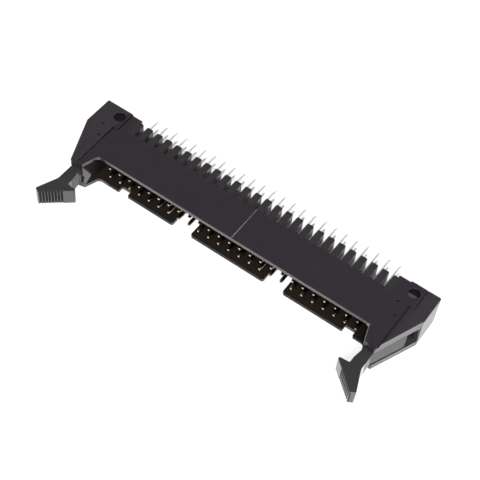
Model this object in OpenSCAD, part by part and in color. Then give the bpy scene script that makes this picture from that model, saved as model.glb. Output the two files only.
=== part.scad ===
// Straight box header for flat ribbon cable, with two latch ejectors.
// X runs along the header, +Y is the way the solder tails point, +Z is up
// while the header lies on its broad side. The origin is in the middle of the
// footprint, on the face that it lies on.

/* [Contacts] */
// Number of contact columns
columns = 25; // [8:1:28]
// Distance between neighbouring contacts, along and across the rows
pitch = 2.54; // [2.4:0.01:2.8]
// Side of the square contact wire
pin_w = 0.64; // [0.5:0.01:0.8]
// Whole length of a contact, from its point to the end of its solder tail
pin_len = 16.6; // [15:0.1:20]
// Length of the tapered point at each end of a contact
pin_point_len = 0.6; // [0.2:0.1:1.2]
// Width that the point tapers to
pin_point_w = 0.36; // [0.2:0.02:0.46]
// How far the contact points lie behind the mouth of the cavity
pin_recess = 0.5; // [0.2:0.1:1.5]

/* [Housing] */
// Height of the housing, from one broad face to the other
housing_h = 8; // [7.8:0.1:9]
// Thickness of the two long walls of the cavity
wall_t = 0.85; // [0.6:0.05:1.1]
// Depth of the cavity, from its mouth to its floor
cavity_depth = 6.8; // [6.4:0.1:8]
// Thickness of the base that grips the contacts
base_t = 2.3; // [1.8:0.1:3.5]
// From the last contact's axis to the end of the cavity
cavity_end_gap = 3.57; // [3:0.01:4.5]
// Thickness of the wall between the cavity and a latch
end_wall_t = 0.5; // [0.4:0.05:0.7]
// Thickness of that wall at its front edge
end_wall_edge = 0.3; // [0.2:0.05:0.35]
// Place of the fine moulding line across the top face, sideways from the middle
witness_x = 0.64; // [-2:0.02:2]
// Width of that line
witness_w = 0.14; // [0.08:0.02:0.3]
// Height of that line above the face
witness_h = 0.06; // [0.02:0.02:0.12]

/* [Comb] */
// Depth of the slots behind the base
comb_depth = 3.5; // [2:0.1:4.5]
// Width of a slot
slot_w = 1; // [0.8:0.05:1.3]
// Width of a tooth's tip where its corners are broken
tooth_chamfer = 0.2; // [0.05:0.05:0.35]
// Width of the last tooth, beside the solid end of the housing
last_tooth_w = 0.95; // [0.6:0.05:1.5]
// How far the solid ends stand behind the teeth
end_block_step = 0.6; // [0.2:0.1:1]

/* [Key slots] */
// Places of the two key slots, in contact spaces from the middle
key_columns = [-4.5, 4.5];
// Width of a key slot
key_w = 4.6; // [3.6:0.1:5.4]
// Radius of the outer corners of a key slot
key_corner_r = 0.5; // [0.1:0.1:0.8]
// Places of the two shallow notches, in contact spaces from the middle
notch_columns = [-10.5, 11.5];
// Width of a notch
notch_w = 2.3; // [1.5:0.1:2.8]
// Depth of a notch
notch_depth = 1.3; // [0.5:0.1:2.5]

/* [Ears] */
// Length of an ear, from the end of the cavity to its outer face
ear_len = 7.23; // [6.9:0.01:8.5]
// How far the ears reach in front of the cavity's mouth
ear_reach = 4.3; // [3.5:0.1:6]
// How far the lower cheek ends behind the upper one
cheek_step = 0.4; // [0.1:0.1:0.8]
// Width of the ear's front end
ear_front_w = 2.4; // [2.2:0.1:3]
// From the mouth back to where the ear's side becomes straight
ear_bend_y = 6.3; // [5.5:0.1:7]
// Thickness of the two cheeks above and below the latch
cheek_t = 1.55; // [1.2:0.05:1.8]
// Thickness of the ear's closed outer wall behind the bend
ear_wall_t = 1.15; // [0.9:0.05:1.3]
// How far the ears stand behind the solid ends of the housing
ear_step = 0.3; // [0.1:0.1:0.8]
// How far the ear's front end slants back towards the cavity
ear_nose_slant = 0.5; // [0.2:0.1:0.8]
// Radius of the ear's front and rear corners
ear_corner_r = 0.3; // [0.1:0.05:0.5]
// Radius of the ear's bend
ear_bend_r = 0.6; // [0.2:0.1:2]
// Slant of the flared edge beside the cavity, sideways for its forward reach
flare_run = 1.2; // [0.8:0.1:1.6]
// Radius in the corner where the flare meets the mouth
flare_r = 1; // [0.3:0.1:1.5]
// Length of the window that the latch's toe swings in
toe_window = 3.7; // [3.2:0.1:4.2]

/* [Latches] */
// From the end of the cavity to the latch's axis
pivot_gap = 2.35; // [2.2:0.05:2.6]
// From the axis back to the rear face of the ear
pivot_back = 2.35; // [2.1:0.05:3]
// Radius of a trunnion
trunnion_r = 1.17; // [0.9:0.01:1.3]
// Radial clearance of a trunnion in its hole
trunnion_clear = 0.08; // [0.03:0.01:0.1]
// How far a trunnion ends below the ear's face
trunnion_recess = 0.4; // [0.2:0.1:0.8]
// Depth of the ramp that leads a trunnion into its hole
trunnion_ramp = 0.6; // [0.2:0.1:0.8]
// Radius of the latch's round rear end
lobe_r = 1.7; // [1.5:0.05:1.8]
// Clearance above and below the latch, when it is in the middle of its slot
latch_clear = 0.5; // [0.15:0.05:0.6]
// How far the latch sits above the middle of its slot
latch_lift = 0.25; // [0:0.05:0.3]
// Clearance between the latch and the end wall
side_clear = 0.15; // [0.1:0.05:0.3]
// Width of the latch's arm in front of the ear
arm_w = 2.55; // [2:0.05:3]
// How far the arm steps in towards the cavity once it is in front of the ear
arm_step = 0.45; // [0.2:0.05:0.7]
// From the mouth forward to the notch behind the hook
hook_y = 8.45; // [7.5:0.05:10]
// How far the hook's point leans forward of that notch
hook_lean = 0.2; // [0.1:0.05:0.8]
// How far the hook reaches in from the arm
hook_len = 2.65; // [1.5:0.05:2.8]
// Length of the thumb face, from the hook's point to the outer corner
thumb_len = 7.94; // [6.5:0.02:8.5]
// Slant of the thumb face, from the header's length
thumb_angle = 40.9; // [35:0.1:55]
// Length of the thumb's end face
thumb_end = 1.3; // [1:0.05:2.2]
// Slant of that end face, from the header's length
thumb_end_angle = 28; // [15:1:45]
// Radius of the bend behind the thumb
thumb_bend_r = 1.5; // [0.5:0.1:2.5]
// Radius of the latch's small corners
latch_r = 0.3; // [0.1:0.05:0.4]
// Number of grip grooves
grooves = 8; // [4:1:8]
// From the thumb face's outer corner to the first grip groove
groove_start = 0.46; // [0.4:0.02:0.8]
// Distance between grip grooves
groove_pitch = 0.62; // [0.5:0.02:0.64]
// Radius of a grip groove
groove_r = 0.22; // [0.1:0.02:0.24]
// From the cavity's floor forward to the shoulder behind the latch's wide part
shoulder_y = 3.3; // [3:0.1:3.8]
// Width of the arm behind the shoulder
rear_arm_w = 2.4; // [2:0.05:2.85]
// How far the toe reaches into the cavity
toe_len = 2.45; // [1.5:0.05:2.6]
// Thickness of the toe
toe_t = 1.5; // [1:0.1:1.8]
// Clearance between the toe and the cavity's floor
toe_clear = 0.2; // [0.1:0.05:0.4]

/* [Ear marks] */
// Width of the moulding line on an ear
mark_w = 0.3; // [0.2:0.02:0.5]
// Depth of the moulding line on the left and right ears
mark_depths = [0.3, 0.12];
// Distance of the line's front run from the latch's axis, towards +X on both ears
mark_x = 0.75; // [0.4:0.05:1]
// Radius of the turn from the front run to the rear run, at the line's middle
mark_r = 0.56; // [0.4:0.02:0.8]
// Distance of that turn's centre in front of the latch's axis
mark_turn_y = 2.75; // [2:0.05:3.5]
// Places of the two dimples, from the latch's axis
dimple_places = [[-1.8, -3.4], [-0.5, -6.5]];
// Radius of the two dimples
dimple_r = 0.3; // [0.2:0.05:0.4]
// Depth of the two dimples
dimple_depth = 0.25; // [0.1:0.05:0.5]

/* [Hidden] */
$fn = 48;
// Overlap that makes a cut run clear of the face that it starts from
cut = 1;
// A length that is longer than any cut needs to be
far = 60;
// Facets of a rounded corner in an outline
corner_steps = 6;

pin_count = 2 * columns;

// Places along the header, measured from its middle
row_x = (columns - 1) / 2 * pitch;
cavity_x = row_x + cavity_end_gap;
slot_end_x = row_x + slot_w / 2;
comb_x = slot_end_x + last_tooth_w;
end_wall_x = cavity_x + end_wall_t;
edge_x = end_wall_x - end_wall_edge;
ear_x = cavity_x + ear_len;
ear_front_x = end_wall_x + ear_front_w;
flare_x = edge_x - flare_run;
pivot_x = cavity_x + pivot_gap;

// Places along the mating direction, measured back from the cavity's mouth
floor_y = cavity_depth;
slot_y = floor_y + base_t;
comb_y = slot_y + comb_depth;
block_y = comb_y + end_block_step;
ear_y = block_y + ear_step;
pivot_y = ear_y - pivot_back;
tail_y = pin_recess + pin_len;

// The latch's outline
arm_x = end_wall_x + side_clear;
arm_front_x = arm_x - arm_step;
thumb_dir = [cos(thumb_angle), -sin(thumb_angle)];
hook_tip = [arm_front_x - hook_len, -hook_y - hook_lean];
thumb_corner = hook_tip + thumb_len * thumb_dir;
thumb_back = thumb_corner + thumb_end * [cos(thumb_end_angle), sin(thumb_end_angle)];
latch_h = housing_h - 2 * (cheek_t + latch_clear);

// The header is modelled from the cavity's mouth, and then moved onto its origin
middle_y = (tail_y + thumb_corner.y) / 2;
middle_z = housing_h / 2;

function pin_name(i) = str("pin_", i < 9 ? "0" : "", i + 1);

function unit(v) = v / norm(v);

// The points of one corner of an outline, rounded to the radius in its third value
function corner(before, at, after) =
    at[2] == 0 ? [[at.x, at.y]] :
    let (
        here = [at.x, at.y],
        u = unit([before.x, before.y] - here),
        v = unit([after.x, after.y] - here),
        half = acos(u * v) / 2,
        centre = here + unit(u + v) * at[2] / sin(half),
        start = here + u * at[2] / tan(half) - centre,
        stop = here + v * at[2] / tan(half) - centre,
        turn = 180 - 2 * half,
        way = start.x * stop.y - start.y * stop.x > 0 ? 1 : -1,
        first = atan2(start.y, start.x)
    )
    [for (k = [0:corner_steps])
        centre + at[2] * [
            cos(first + way * turn * k / corner_steps),
            sin(first + way * turn * k / corner_steps)
        ]];

// An outline whose corners [x, y, radius] are rounded
function rounded(corners) =
    let (n = len(corners))
    [for (i = [0:n - 1], p = corner(corners[(i + n - 1) % n], corners[i], corners[(i + 1) % n])) p];

module mirrored_pair() {
    children();
    mirror([1, 0, 0]) children();
}

// A block from z_low to z_high over an outline
module slab(outline, z_low, z_high) {
    translate([0, 0, z_low]) linear_extrude(z_high - z_low) polygon(outline);
}

module on_origin() {
    translate([0, -middle_y, 0]) children();
}

// Half of the housing's plan, from the middle to one ear that reaches in front of the mouth
module half_plan(reach) {
    polygon(rounded([
        [-cut, 0, 0],
        [flare_x, 0, flare_r],
        [edge_x, ear_nose_slant - reach, 0],
        [end_wall_x, ear_nose_slant - reach, 0],
        [ear_front_x, -reach, ear_corner_r],
        [ear_x, ear_bend_y, ear_bend_r],
        [ear_x, ear_y, ear_corner_r],
        [end_wall_x, ear_y, 0],
        [end_wall_x, block_y, 0],
        [comb_x, block_y, 0],
        [comb_x, comb_y, 0],
        [-cut, comb_y, 0]
    ]));
}

// The housing's whole plan, with both ears
module whole_plan(reach) {
    half_plan(reach);
    mirror([1, 0]) half_plan(reach);
}

// Half of the cavity, whose end wall thins towards its front edge
module cavity_half() {
    slab(
        [
            [-cut, floor_y], [cavity_x, floor_y], [cavity_x, 0],
            [edge_x, ear_nose_slant - ear_reach], [edge_x, -far], [-cut, -far]
        ],
        wall_t, housing_h - wall_t
    );
}

// The space that the latch swings in: open in front and at the side, up to the bend
module latch_pocket() {
    wall_x = ear_x - ear_wall_t;
    wall_y = ear_y - ear_wall_t;
    gap_x = pivot_x + lobe_r + side_clear;
    slab(
        [
            [end_wall_x, -far], [far, -far], [far, ear_bend_y], [wall_x, ear_bend_y],
            [wall_x, wall_y], [gap_x, wall_y], [gap_x, ear_y + cut], [end_wall_x, ear_y + cut]
        ],
        cheek_t, housing_h - cheek_t
    );
    // The window in the end wall for the toe
    translate([cavity_x - cut, floor_y - toe_window, cheek_t])
        cube([end_wall_t + 2 * cut, toe_window, housing_h - 2 * cheek_t]);
}

// One slot of the comb, with the corners of its teeth broken
module comb_slot() {
    slab(
        [
            [-slot_w / 2, slot_y], [slot_w / 2, slot_y],
            [slot_w / 2, comb_y - tooth_chamfer], [slot_w / 2 + tooth_chamfer + cut, comb_y + cut],
            [-slot_w / 2 - tooth_chamfer - cut, comb_y + cut], [-slot_w / 2, comb_y - tooth_chamfer]
        ],
        -cut, housing_h + cut
    );
}

// A cut into the lower wall's front edge, with round corners at the mouth
module wall_cut(w, depth, r) {
    side = w / 2;
    beside = side + 2 * r;
    slab(
        rounded([
            [-beside, -cut, 0], [-beside, 0, 0], [-side, 0, r], [-side, depth, 0],
            [side, depth, 0], [side, 0, r], [beside, 0, 0], [beside, -cut, 0]
        ]),
        -cut, wall_t + cut
    );
}

// The moulding line and dimples on an ear's top face, placed from the latch's axis
module ear_marks(depth) {
    translate([mark_x, -mark_turn_y, -depth]) {
        translate([-mark_w / 2, -far, 0]) cube([mark_w, far, depth + cut]);
        translate([2 * mark_r - mark_w / 2, 0, 0]) cube([mark_w, far, depth + cut]);
        translate([mark_r, 0, 0]) difference() {
            cylinder(h = depth + cut, r = mark_r + mark_w / 2);
            translate([0, 0, -cut]) cylinder(h = depth + 3 * cut, r = mark_r - mark_w / 2);
            translate([-far / 2, 0, -cut]) cube([far, far, depth + 3 * cut]);
        }
    }
    for (place = dimple_places)
        translate([place.x, place.y, -dimple_depth]) cylinder(h = dimple_depth + cut, r = dimple_r, $fn = 16);
}

module housing() {
    color([0.16, 0.15, 0.16]) on_origin() difference() {
        union() {
            linear_extrude(middle_z) whole_plan(ear_reach - cheek_step);
            translate([0, 0, middle_z]) linear_extrude(housing_h - middle_z) whole_plan(ear_reach);
            translate([witness_x - witness_w / 2, 0, housing_h - cut])
                cube([witness_w, slot_y, cut + witness_h]);
        }
        mirrored_pair() cavity_half();
        mirrored_pair() latch_pocket();
        mirrored_pair() translate([pivot_x, pivot_y, -cut])
            cylinder(h = housing_h + 2 * cut, r = trunnion_r + trunnion_clear);
        for (c = [0:columns - 1]) translate([c * pitch - row_x, 0, 0]) comb_slot();
        for (k = key_columns) translate([k * pitch, 0, 0]) wall_cut(key_w, floor_y, key_corner_r);
        for (k = notch_columns) translate([k * pitch, 0, 0]) wall_cut(notch_w, notch_depth, key_corner_r / 2);
        for (c = [0:columns - 1], side = [-1, 1])
            translate([c * pitch - row_x - pin_w / 2, floor_y - cut, middle_z + side * pitch / 2 - pin_w / 2])
                cube([pin_w, base_t + 2 * cut, pin_w]);
        for (i = [0, 1])
            translate([(2 * i - 1) * pivot_x, pivot_y, housing_h]) ear_marks(mark_depths[i]);
    }
}

// The latch's plan, from its hook round the arm to the round rear end
module latch_plan() {
    toe_y = floor_y - toe_clear;
    toe_x = cavity_x - toe_len;
    shoulder = floor_y - shoulder_y;
    // The outer side lies flush with the ear's taper
    taper = (ear_x - ear_front_x) / (ear_bend_y + ear_reach);
    side_x = ear_front_x + taper * (shoulder + ear_reach);
    polygon(rounded([
        [hook_tip.x, hook_tip.y, latch_r],
        [thumb_corner.x, thumb_corner.y, latch_r / 2],
        [thumb_back.x, thumb_back.y, latch_r],
        [arm_front_x + arm_w, -hook_y, thumb_bend_r],
        [arm_front_x + arm_w, -ear_reach, latch_r],
        [side_x, shoulder, latch_r],
        [arm_x + rear_arm_w, shoulder, 0],
        [pivot_x + lobe_r, pivot_y, 0],
        [pivot_x - lobe_r, pivot_y, 0],
        [arm_x, toe_y, 0],
        [toe_x, toe_y, latch_r],
        [toe_x, toe_y - toe_t, latch_r],
        [arm_x, toe_y - toe_t, latch_r],
        [arm_x, -ear_reach, latch_r],
        [arm_front_x, -ear_reach - arm_w, latch_r],
        [arm_front_x, -hook_y, latch_r]
    ]));
    translate([pivot_x, pivot_y]) circle(r = lobe_r);
}

// The two trunnions in one, with a ramp at the front of each end
module trunnions() {
    low = trunnion_recess;
    high = housing_h - trunnion_recess;
    intersection() {
        translate([0, 0, low]) cylinder(h = high - low, r = trunnion_r);
        rotate([90, 0, 90]) translate([0, 0, -trunnion_r - cut]) linear_extrude(2 * (trunnion_r + cut)) polygon([
            [-trunnion_r, low + trunnion_ramp], [0, low], [trunnion_r, low],
            [trunnion_r, high], [0, high], [-trunnion_r, high - trunnion_ramp]
        ]);
    }
}

// The right-hand latch: a flat profile with grip grooves, carried by two trunnions
module latch() {
    difference() {
        translate([0, 0, middle_z + latch_lift - latch_h / 2]) linear_extrude(latch_h) latch_plan();
        for (g = [0:grooves - 1]) {
            place = thumb_corner - thumb_dir * (groove_start + g * groove_pitch);
            translate([place.x, place.y, -cut]) cylinder(h = housing_h + 2 * cut, r = groove_r, $fn = 24);
        }
    }
    translate([pivot_x, pivot_y, 0]) trunnions();
}

module latch_right() {
    color([0.17, 0.17, 0.17]) on_origin() latch();
}

module latch_left() {
    color([0.17, 0.17, 0.17]) on_origin() mirror([1, 0, 0]) latch();
}

// The side view of a contact, pointed at both ends
module pin_profile() {
    polygon([
        [-pin_point_w / 2, 0], [pin_point_w / 2, 0], [pin_w / 2, pin_point_len],
        [pin_w / 2, pin_len - pin_point_len], [pin_point_w / 2, pin_len],
        [-pin_point_w / 2, pin_len], [-pin_w / 2, pin_len - pin_point_len], [-pin_w / 2, pin_point_len]
    ]);
}

// One square contact, along Y from its point to its tail
module pin(i) {
    column = floor(i / 2);
    side = i % 2 == 0 ? 1 : -1;
    color([0.85, 0.7, 0.35]) on_origin()
        translate([column * pitch - row_x, pin_recess, middle_z + side * pitch / 2])
        intersection() {
            translate([0, 0, -pin_w / 2]) linear_extrude(pin_w) pin_profile();
            rotate([0, 90, 0]) translate([0, 0, -pin_w / 2]) linear_extrude(pin_w) pin_profile();
        }
}

housing();
latch_left();
latch_right();
for (i = [0:pin_count - 1])
    pin(i);
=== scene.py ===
from math import cos, pi, radians, sin

import bmesh
import bpy
from mathutils import Matrix, Vector


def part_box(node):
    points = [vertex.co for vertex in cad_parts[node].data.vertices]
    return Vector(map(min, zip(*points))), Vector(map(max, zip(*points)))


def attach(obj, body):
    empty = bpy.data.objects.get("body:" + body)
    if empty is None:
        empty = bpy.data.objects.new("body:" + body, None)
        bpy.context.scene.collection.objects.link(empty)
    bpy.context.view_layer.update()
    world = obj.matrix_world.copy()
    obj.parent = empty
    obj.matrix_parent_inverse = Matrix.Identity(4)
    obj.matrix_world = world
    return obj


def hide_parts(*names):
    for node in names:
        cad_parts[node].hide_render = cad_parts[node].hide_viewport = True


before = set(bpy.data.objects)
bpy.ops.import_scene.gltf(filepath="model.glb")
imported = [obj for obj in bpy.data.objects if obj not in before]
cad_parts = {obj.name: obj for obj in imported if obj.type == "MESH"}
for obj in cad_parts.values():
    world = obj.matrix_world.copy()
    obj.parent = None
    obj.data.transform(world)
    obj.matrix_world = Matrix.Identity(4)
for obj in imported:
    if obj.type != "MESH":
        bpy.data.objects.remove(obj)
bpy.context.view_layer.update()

MM = 0.001
scene = bpy.context.scene
scene.view_settings.view_transform = "Standard"

# ------------------------------------------------------------------ viewpoint
# The header lies on its broad side, and is seen from the front right and
# from well above, with the camera turned a few degrees about its own axis.
# The mouth of the cavity and the two ears' front ends face the viewer.

view_azimuth = radians(30.15)
view_elevation = radians(53.66)
view_roll = radians(6.55)
view_distance = 241.5 * MM
view_aside = 2.28 * MM
view_above = 1.30 * MM
view_lens = 90.16
# The point that the camera turns about: the mouth's middle, halfway up
view_centre = Vector((0, -1.12 * MM, 4 * MM))

level = Vector((cos(view_azimuth), sin(view_azimuth), 0))
toward = Vector((sin(view_azimuth), -cos(view_azimuth), 0))
back = toward * cos(view_elevation) + Vector((0, 0, sin(view_elevation)))
raised = back.cross(level)
camera_x = cos(view_roll) * level + sin(view_roll) * raised
camera_y = -sin(view_roll) * level + cos(view_roll) * raised

camera_data = bpy.data.cameras.new("camera")
camera_data.lens = view_lens
camera_data.sensor_width = 36
camera_data.clip_start = 0.01
camera = bpy.data.objects.new("camera", camera_data)
scene.collection.objects.link(camera)
place = view_centre + back * view_distance + camera_x * view_aside + camera_y * view_above
camera.matrix_world = Matrix.Translation(place) @ Matrix((camera_x, camera_y, back)).transposed().to_4x4()
scene.camera = camera


# ---------------------------------------------------------------------- stage
# A white paper sweep: flat under the header, curving up to a low wall all
# round. Soft boxes hang over the viewer's side, and the room above is dim.


class Wire:
    """An output of a shader node, which takes part in plain sums."""

    def __init__(self, tree, socket):
        self.tree, self.socket = tree, socket

    @staticmethod
    def node(tree, kind, settings=None, inputs=None, out=0):
        made = tree.nodes.new(kind)
        for name, value in (settings or {}).items():
            setattr(made, name, value)
        for name, value in (inputs or {}).items():
            if isinstance(value, Wire):
                tree.links.new(value.socket, made.inputs[name])
            else:
                made.inputs[name].default_value = value
        return Wire(tree, made.outputs[out])

    def maths(self, operation, *values):
        values = (self, *values) if self not in values else values
        return Wire.node(self.tree, "ShaderNodeMath", {"operation": operation}, dict(enumerate(values)))

    def __add__(self, other):
        return self.maths("ADD", other)

    def __mul__(self, other):
        return self.maths("MULTIPLY", other)

    def __sub__(self, other):
        return self.maths("SUBTRACT", other)

    def __rsub__(self, other):
        return self.maths("SUBTRACT", other, self)

    def __truediv__(self, other):
        return self.maths("DIVIDE", other)

    __radd__ = __add__
    __rmul__ = __mul__

    def rise(self, start, end):
        """0 below start and 1 above end, with a smooth change between them."""
        settings = {"interpolation_type": "SMOOTHSTEP"}
        inputs = {"Value": self, "From Min": start, "From Max": end}
        return Wire.node(self.tree, "ShaderNodeMapRange", settings, inputs)


def new_material(name):
    """An empty material and its tree."""
    material = bpy.data.materials.new(name)
    material.use_nodes = True
    material.node_tree.nodes.clear()
    return material, material.node_tree


def output(tree, shader):
    tree.links.new(shader.socket, tree.nodes.new("ShaderNodeOutputMaterial").inputs["Surface"])


def link(name, mesh):
    """A new object for a mesh."""
    made = bpy.data.objects.new(name, mesh)
    scene.collection.objects.link(made)
    return made


sweep_radius = 1.3
sweep_curve = 0.25
sweep_height = 0.6
paper_white = 0.9
paper_share = 0.75
mirror_share = 0.1

profile = [(sweep_radius, 0)]
for step in range(1, 9):
    turn = step / 8 * pi / 2
    profile.append((sweep_radius + sweep_curve * sin(turn), sweep_curve * (1 - cos(turn))))
profile.append((sweep_radius + sweep_curve, sweep_height))
sides = 64
corners = []
for radius, height in profile:
    for side in range(sides):
        turn = side / sides * 2 * pi
        corners.append((radius * cos(turn), radius * sin(turn), height))
faces = [list(range(sides))]
for ring in range(len(profile) - 1):
    for side in range(sides):
        here, beside = ring * sides + side, ring * sides + (side + 1) % sides
        faces.append([here, here + sides, beside + sides, beside])
sweep_mesh = bpy.data.meshes.new("sweep")
sweep_mesh.from_pydata(corners, [], faces)
sweep_mesh.shade_smooth()
sweep = link("sweep", sweep_mesh)

paper, tree = new_material("white_paper")
camera_ray, glossy_ray, clear_ray = [
    Wire.node(tree, "ShaderNodeLightPath", out=name)
    for name in ("Is Camera Ray", "Is Glossy Ray", "Is Transmission Ray")
]
seen = camera_ray * paper_share + glossy_ray * mirror_share + clear_ray * mirror_share
matt = Wire.node(tree, "ShaderNodeBsdfDiffuse", {}, {"Color": (paper_white, paper_white, paper_white, 1)})
glow = Wire.node(tree, "ShaderNodeEmission", {}, {"Color": (1, 1, 1, 1), "Strength": 1.0})
output(tree, Wire.node(tree, "ShaderNodeMixShader", {}, {0: seen, 1: matt, 2: glow}))
sweep_mesh.materials.append(paper)

world = bpy.data.worlds.new("room")
world.use_nodes = True
world.node_tree.nodes["Background"].inputs["Color"].default_value = (1.0, 1.0, 1.0, 1)
world.node_tree.nodes["Background"].inputs["Strength"].default_value = 0.12
scene.world = world

# name, place, size and power of each soft box
soft_boxes = [
    ("key_box", (0.35, -0.75, 0.95), 0.7, 36.0),
    ("side_box", (0.95, 0.1, 0.75), 0.5, 16.0),
]
for name, place, size, power in soft_boxes:
    lamp_data = bpy.data.lights.new(name, "AREA")
    lamp_data.shape = "SQUARE"
    lamp_data.size = size
    lamp_data.energy = power
    lamp = link(name, lamp_data)
    lamp.location = place
    lamp.rotation_euler = (-Vector(place)).to_track_quat("-Z", "Y").to_euler()


# -------------------------------------------------------------------- housing
# One black moulding in glass-filled polyester: the open cavity with its key
# slots, the base that grips the contacts, the comb behind it, and two ears.
# Its edges have the small radius of a moulded part.

moulded_edge = 0.03 * MM
weld_gap = 0.002 * MM
flat_turn = radians(0.5)
rounded_turn = radians(28)
sharp_turn = radians(55)
skin_roughness = 0.12
skin_ior = 1.5
housing_dark = (0.0125, 0.0100, 0.0135, 1)
housing_pale = (0.0182, 0.0156, 0.0172, 1)
cavity_painted_shade = (0.0095, 0.0075, 0.0062, 1)
comb_grey = (0.0155, 0.0138, 0.0145, 1)
front_edge_painted_highlight = (0.029, 0.025, 0.027, 1)
highlight_grey = (0.125, 0.115, 0.125, 1)
witness_grey = (0.060, 0.054, 0.058, 1)
sunk_painted_shade = (0.0040, 0.0036, 0.0042, 1)
# Places on the housing, in millimetres
mouth_y = -1.63
cavity_floor_y = 5.17
cavity_end_x = 34.25
wall_low_z = 0.85
wall_high_z = 7.15
witness_x = 0.64
left_finish_x = -35.65
right_finish_x = 37.15
ear_front_x = 36.95
ear_front_y = -5.93
ear_side_x = 41.28
ear_rear_y = 11.87
ear_taper = 0.4085
hole_x = 36.4
hole_y = 9.52
highlight_width = 0.30
# The shares of the plastic's shine that are taken away, place by place
inside_loss = 0.7
wall_edge_loss = 0.7
sunk_loss = 0.9
ear_side_loss = 0.24
ear_end_loss = 0.26


def settled(made, modifier):
    """The object's mesh with its one modifier applied."""
    bpy.context.view_layer.update()
    finished = bpy.data.meshes.new_from_object(made.evaluated_get(bpy.context.evaluated_depsgraph_get()))
    made.modifiers.remove(modifier)
    made.data = finished
    finished.name = made.name


def moulded(node, name, radius):
    """A welded copy of a CAD node with its sharp edges rounded, as a plain mesh."""
    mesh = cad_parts[node].data.copy()
    mesh.name = name
    mesh.materials.clear()
    work = bmesh.new()
    work.from_mesh(mesh)
    bmesh.ops.remove_doubles(work, verts=work.verts, dist=weld_gap)
    bmesh.ops.dissolve_limit(work, angle_limit=flat_turn, verts=work.verts, edges=work.edges)
    work.to_mesh(mesh)
    work.free()
    made = link(name, mesh)
    rounding = made.modifiers.new("rounding", "BEVEL")
    rounding.width = radius
    rounding.segments = 2
    rounding.limit_method = "ANGLE"
    rounding.angle_limit = rounded_turn
    rounding.use_clamp_overlap = False
    settled(made, rounding)
    made.data.shade_smooth()
    made.data.set_sharp_from_angle(angle=sharp_turn)
    # The flat faces keep their own direction, and the rounded edges turn between them
    leading = made.modifiers.new("flat_faces_lead", "WEIGHTED_NORMAL")
    leading.weight = 100
    leading.keep_sharp = True
    settled(made, leading)
    return made


def black_plastic(name, finish_of, gloss, grain):
    """Moulded black plastic: finish_of gives its colour and skin from the place in millimetres."""
    material, tree = new_material(name)
    place = Wire.node(tree, "ShaderNodeTexCoord", out="Object")
    axes = [Wire.node(tree, "ShaderNodeSeparateXYZ", {}, {"Vector": place}, out=axis) / MM for axis in "XYZ"]
    cloud = Wire.node(tree, "ShaderNodeTexNoise", {}, {"Vector": place, "Scale": 260, "Detail": 3})
    fine = Wire.node(tree, "ShaderNodeTexNoise", {}, {"Vector": place, "Scale": 5200, "Detail": 2})
    rough = gloss + 0.1 * (cloud - 0.5) + 0.08 * (fine - 0.5)
    bump = Wire.node(tree, "ShaderNodeBump", {}, {"Strength": grain, "Distance": 0.01 * MM, "Height": fine})
    colour, skin = finish_of(tree, axes, cloud)
    shader = Wire.node(tree, "ShaderNodeBsdfPrincipled", {}, {
        "Base Color": colour,
        "Roughness": rough,
        "Specular IOR Level": 0.0,
        "Coat Weight": skin,
        "Coat Roughness": skin_roughness,
        "Coat IOR": skin_ior,
        "Normal": bump,
    })
    output(tree, shader)
    return material


def mix(tree, share, first, second):
    """A colour between two others."""
    inputs = {"Factor": share, "A": first, "B": second}
    return Wire.node(tree, "ShaderNodeMix", {"data_type": "RGBA"}, inputs, out=2)


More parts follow.
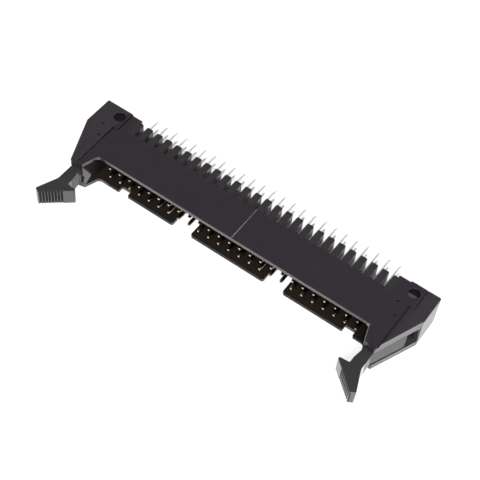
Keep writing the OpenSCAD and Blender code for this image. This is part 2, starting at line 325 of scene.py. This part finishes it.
def housing_finish(tree, axes, cloud):
    x, y, z = axes
    side = x.maths("ABSOLUTE")
    # The ears, outside the seams in their tops, are a little paler
    ears = (left_finish_x - x).rise(-0.15, 0.15) + (x - right_finish_x).rise(-0.15, 1.5)
    colour = mix(tree, ears * 0.7 + 0.3 * cloud, housing_dark, housing_pale)
    # Painted shade: the inside of the cavity and of its lead-ins is darkened by colour, not by light alone
    depth = y.rise(mouth_y - 0.3, mouth_y + 0.3) * (cavity_floor_y + 0.2 - y).rise(0, 0.1)
    height = z.rise(wall_low_z - 0.1, wall_low_z) * (wall_high_z + 0.1 - z).rise(0, 0.1)
    inside = depth * height * (cavity_end_x + 0.1 - side).rise(0, 0.1)
    lead_in = (mouth_y - y).rise(-0.3, 0) * height * (34.8 - side).rise(0, 0.1)
    colour = mix(tree, inside + 0.8 * lead_in, colour, cavity_painted_shade)
    # The comb's teeth, a little greyer on top
    comb = y.rise(7.4, 7.6) * (32.6 - side).rise(0, 0.1) * z.rise(7.85, 7.95)
    colour = mix(tree, comb, colour, comb_grey)
    # The front edges of the two long walls: a painted highlight on the top wall's front edge, and less shine
    # on both
    front = (mouth_y + 0.04 - y).rise(0, 0.03) * (cavity_end_x - 0.8 - x).rise(0, 0.3)
    front = front * (x + cavity_end_x - 2.9).rise(0, 0.6)
    colour = mix(tree, front * z.rise(wall_high_z, wall_high_z + 0.1), colour, front_edge_painted_highlight)
    matt = front * ((wall_low_z + 0.1 - z).rise(0, 0.1) + 0.3 * z.rise(wall_high_z, wall_high_z + 0.1))
    # Painted highlights beside the right-hand latch, in place of wider rounded edges there:
    # along the cavity's lead-in, and along the ear's taper
    flare = (side - 33.05) - (mouth_y - y) * 1.2 / 3.8
    lip = (0.13 - flare.maths("ABSOLUTE")).rise(0, 0.06) * z.rise(7.8, 7.9)
    lip = lip * (mouth_y - y).rise(0, 0.1) * (37 - side).rise(0, 0.1)
    taper_x = (ear_front_x + ear_taper * (y - ear_front_y)).maths("MINIMUM", ear_side_x)
    rim = (highlight_width - (taper_x - side)).rise(-0.06, 0.04) * side.rise(36.9, 37.2)
    rim = rim * z.rise(7.9, 7.95) * (1 - y.rise(4.5, 5.2))
    colour = mix(tree, (lip + rim) * x.rise(0, 1), colour, highlight_grey)
    # The fine moulding line across the top face
    witness = (0.13 - (x - witness_x).maths("ABSOLUTE")).rise(0, 0.08)
    witness = witness * z.rise(7.9, 8.0) * (7.5 - y).rise(0, 0.1)
    colour = mix(tree, witness, colour, witness_grey)
    # Painted shade in whatever is sunk into the ears' top faces
    sunk = z.rise(7.3, 7.4) * (7.98 - z).rise(0, 0.03) * side.rise(34.25, 34.35) * y.rise(-5.3, -5.2)
    sunk = sunk * (ear_rear_y - 0.1 - y).rise(0, 0.1) * (taper_x - side).rise(0.25, 0.35)
    from_hole = ((side - hole_x) * (side - hole_x) + (y - hole_y) * (y - hole_y)).maths("POWER", 0.5)
    sunk = sunk * (1 - 0.4 * from_hole.rise(1.4, 1.6) * x.rise(0, 1))
    colour = mix(tree, sunk, colour, sunk_painted_shade)
    # The ears' outer faces are given less shine, most of all the two flat ends
    outer = ear_side_loss * side.rise(35.6, 36) + ear_end_loss * side.rise(41.1, 41.2)
    skin = (1 - inside_loss * inside) * (1 - wall_edge_loss * matt) * (1 - sunk_loss * sunk)
    skin = skin * (1 - outer)
    return colour, skin


housing = moulded("housing", "housing_moulding", moulded_edge)
housing.data.materials.append(black_plastic("housing_plastic", housing_finish, 0.42, 0.08))
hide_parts("housing")
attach(housing, "header")

# -------------------------------------------------------------------- latches
# Two latch ejectors in black nylon, mirror images, each moulded in one piece
# with its hook, ribbed thumb face, toe and trunnions. They swing in the ears.

latch_dark = (0.0150, 0.0136, 0.0140, 1)
latch_pale = (0.0200, 0.0188, 0.0188, 1)
painted_shade_black = (0.0050, 0.0046, 0.0048, 1)
ramp_painted_highlight = (0.030, 0.028, 0.029, 1)
# The hook's point and the slant of the thumb face, in millimetres and degrees
hook_point = (31.6, -10.28)
thumb_slant = radians(40.9)
pivot_y = 9.52
# The shares of the plastic's shine that are taken away, place by place
groove_loss = 0.75
trunnion_loss = 0.8
arm_loss = 0.55


def latch_finish(tree, axes, cloud):
    x, y, z = axes
    side = x.maths("ABSOLUTE")
    colour = mix(tree, cloud, latch_dark, latch_pale)
    # Painted shade in the grip grooves, which lie behind the plane of the thumb face
    behind = (side - hook_point[0]) * sin(thumb_slant) + (y - hook_point[1]) * cos(thumb_slant)
    groove = behind.rise(0.02, 0.10) * (0.3 - behind).rise(0, 0.03) * (6.17 - z).rise(0, 0.02)
    colour = mix(tree, groove, colour, painted_shade_black)
    # Painted shade on the ends of the trunnions, and on the right-hand one a painted highlight on one half,
    # for a brighter ramp
    trunnion = z.rise(7.0, 7.1)
    ramp = trunnion * (pivot_y - y).rise(0, 0.1) * x.rise(0, 1)
    colour = mix(tree, trunnion, colour, painted_shade_black)
    colour = mix(tree, ramp, colour, ramp_painted_highlight)
    arm = y.rise(-9, -8.5)
    skin = (1 - groove_loss * groove) * (1 - trunnion_loss * trunnion) * (1 - arm_loss * arm)
    return colour, skin


latch_plastic = black_plastic("latch_plastic", latch_finish, 0.45, 0.12)
for node, body in (("latch_left", "left_latch"), ("latch_right", "right_latch")):
    latch = moulded(node, node + "_moulding", moulded_edge)
    latch.data.materials.append(latch_plastic)
    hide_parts(node)
    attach(latch, body)

# ------------------------------------------------------------------- contacts
# Fifty square contacts in two rows, drawn from bronze wire and pointed at both
# ends. They are gold in the cavity and tin on the solder tails, and are
# pressed through the base from behind.

contact_nodes = sorted(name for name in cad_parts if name.startswith("pin_"))
first_low, first_high = (Vector(corner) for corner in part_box("pin_01"))
under_low, under_high = (Vector(corner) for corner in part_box("pin_02"))
last_low, last_high = (Vector(corner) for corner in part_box("pin_50"))
columns = len(contact_nodes) // 2
contact_pitch = (last_low.x - first_low.x) / (columns - 1)
contact_w = first_high.x - first_low.x
contact_len = first_high.y - first_low.y
point_len = 0.6 * MM
point_share = 0.36 / 0.64
wire_corner = 0.05 * MM
# Where the gold ends and the tin begins, in millimetres
plating_y = 6.0


class Field:
    """A geometry tree being built: adds nodes with their settings and inputs."""

    def __init__(self, name):
        self.tree = bpy.data.node_groups.new(name, "GeometryNodeTree")
        self.tree.interface.new_socket("Geometry", in_out="OUTPUT", socket_type="NodeSocketGeometry")
        self.names = {}
        self.entry = self.tree.nodes.new("NodeGroupInput")

    def size(self, name, kind="NodeSocketFloat"):
        socket = self.tree.interface.new_socket(name, in_out="INPUT", socket_type=kind)
        self.names[name] = socket.identifier
        return self.entry.outputs[name]

    def add(self, kind, settings=None, inputs=None, out=0):
        made = self.tree.nodes.new(kind)
        for name, value in (settings or {}).items():
            setattr(made, name, value)
        for name, value in (inputs or {}).items():
            if isinstance(value, bpy.types.NodeSocket):
                self.tree.links.new(value, made.inputs[name])
            else:
                made.inputs[name].default_value = value
        return made.outputs[out]

    def maths(self, operation, *values):
        return self.add("ShaderNodeMath", {"operation": operation}, dict(enumerate(values)))

    def finish(self, geometry):
        exit_node = self.tree.nodes.new("NodeGroupOutput")
        self.tree.links.new(geometry, exit_node.inputs[0])


contact_field = Field("contact_rows")
wire_w = contact_field.size("Wire width")
wire_len = contact_field.size("Length")
taper_len = contact_field.size("Point length")
taper_share = contact_field.size("Point share")
corner_r = contact_field.size("Corner radius")
row_count = contact_field.size("Columns", "NodeSocketInt")
row_pitch = contact_field.size("Pitch")
row_gap = contact_field.size("Row gap")
start = contact_field.size("First contact", "NodeSocketVector")
plating = contact_field.size("Plating", "NodeSocketMaterial")
add, maths = contact_field.add, contact_field.maths

# The wire's length, with two rings at each point
rings = 6
line = add("GeometryNodeMeshLine", {"mode": "OFFSET"}, {"Count": rings, "Offset": (0, 0, 0)})
spot = add("GeometryNodeInputIndex")
tail = maths("SUBTRACT", rings - 1, spot)
near_end = maths("MINIMUM", spot, tail)
from_end = maths("ADD", maths("MULTIPLY", maths("MINIMUM", near_end, 1), taper_len),
                 maths("MULTIPLY", maths("MAXIMUM", maths("SUBTRACT", near_end, 1), 0), taper_len))
beyond = maths("GREATER_THAN", spot, (rings - 1) / 2)
along = maths("ADD", maths("MULTIPLY", maths("SUBTRACT", 1, beyond), from_end),
              maths("MULTIPLY", beyond, maths("SUBTRACT", wire_len, from_end)))
point = add("ShaderNodeCombineXYZ", {}, {"Y": along})
line = add("GeometryNodeSetPosition", {}, {"Geometry": line, "Position": point})
curve = add("GeometryNodeMeshToCurve", {}, {"Mesh": line})
full = maths("MINIMUM", near_end, 1)
width = maths("ADD", taper_share, maths("MULTIPLY", full, maths("SUBTRACT", 1, taper_share)))
curve = add("GeometryNodeSetCurveRadius", {}, {"Curve": curve, "Radius": width})
square = add("GeometryNodeCurvePrimitiveQuadrilateral", {}, {"Width": wire_w, "Height": wire_w})
square = add("GeometryNodeFilletCurve", {"mode": "POLY"}, {"Curve": square, "Count": 1, "Radius": corner_r})
wire = add("GeometryNodeCurveToMesh", {}, {"Curve": curve, "Profile Curve": square, "Scale": width,
                                           "Fill Caps": True})
column_step = add("ShaderNodeCombineXYZ", {}, {"X": row_pitch})
upper = add("GeometryNodeMeshLine", {"mode": "OFFSET"},
            {"Count": row_count, "Start Location": start, "Offset": column_step})
drop = add("ShaderNodeCombineXYZ", {}, {"Z": row_gap})
lower = add("GeometryNodeTransform", {}, {"Geometry": upper, "Translation": drop})
both = add("GeometryNodeJoinGeometry")
for row in (upper, lower):
    contact_field.tree.links.new(row, both.node.inputs[0])
contacts_out = add("GeometryNodeInstanceOnPoints", {}, {"Points": both, "Instance": wire})
contacts_out = add("GeometryNodeRealizeInstances", {}, {"Geometry": contacts_out})
contacts_out = add("GeometryNodeSetMaterial", {}, {"Geometry": contacts_out, "Material": plating})
contact_field.finish(contacts_out)

plated, tree = new_material("gold_and_tin")
place = Wire.node(tree, "ShaderNodeTexCoord", out="Object")
x, y, z = [Wire.node(tree, "ShaderNodeSeparateXYZ", {}, {"Vector": place}, out=axis) / MM for axis in "XYZ"]
tinned = y.rise(plating_y - 0.3, plating_y + 0.3)
streaks = Wire.node(tree, "ShaderNodeTexNoise", {}, {"Vector": place, "Scale": 900, "Detail": 3})
gold = mix(tree, streaks, (0.43, 0.35, 0.26, 1), (0.54, 0.46, 0.35, 1))
tin = mix(tree, streaks, (0.70, 0.70, 0.70, 1), (0.84, 0.84, 0.84, 1))
drawn = Wire.node(tree, "ShaderNodeBump", {}, {"Strength": 0.1, "Distance": 0.01 * MM, "Height": streaks})
metal = Wire.node(tree, "ShaderNodeBsdfPrincipled", {}, {
    "Base Color": mix(tree, tinned, gold, tin),
    "Metallic": 1.0 - 0.2 * tinned,
    "Roughness": 0.10 + 0.32 * tinned + 0.06 * streaks,
    "Normal": drawn,
})
output(tree, metal)

contacts = link("contact_rows", bpy.data.meshes.new("contact_rows"))
rows = contacts.modifiers.new("rows", "NODES")
rows.node_group = contact_field.tree
sizes = {
    "Wire width": contact_w,
    "Length": contact_len,
    "Point length": point_len,
    "Point share": point_share,
    "Corner radius": wire_corner,
    "Columns": columns,
    "Pitch": contact_pitch,
    "Row gap": under_low.z - first_low.z,
    "First contact": ((first_low.x + first_high.x) / 2, first_low.y, (first_low.z + first_high.z) / 2),
    "Plating": plated,
}
for name, value in sizes.items():
    rows[contact_field.names[name]] = value
settled(contacts, rows)
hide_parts(*contact_nodes)
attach(contacts, "header")
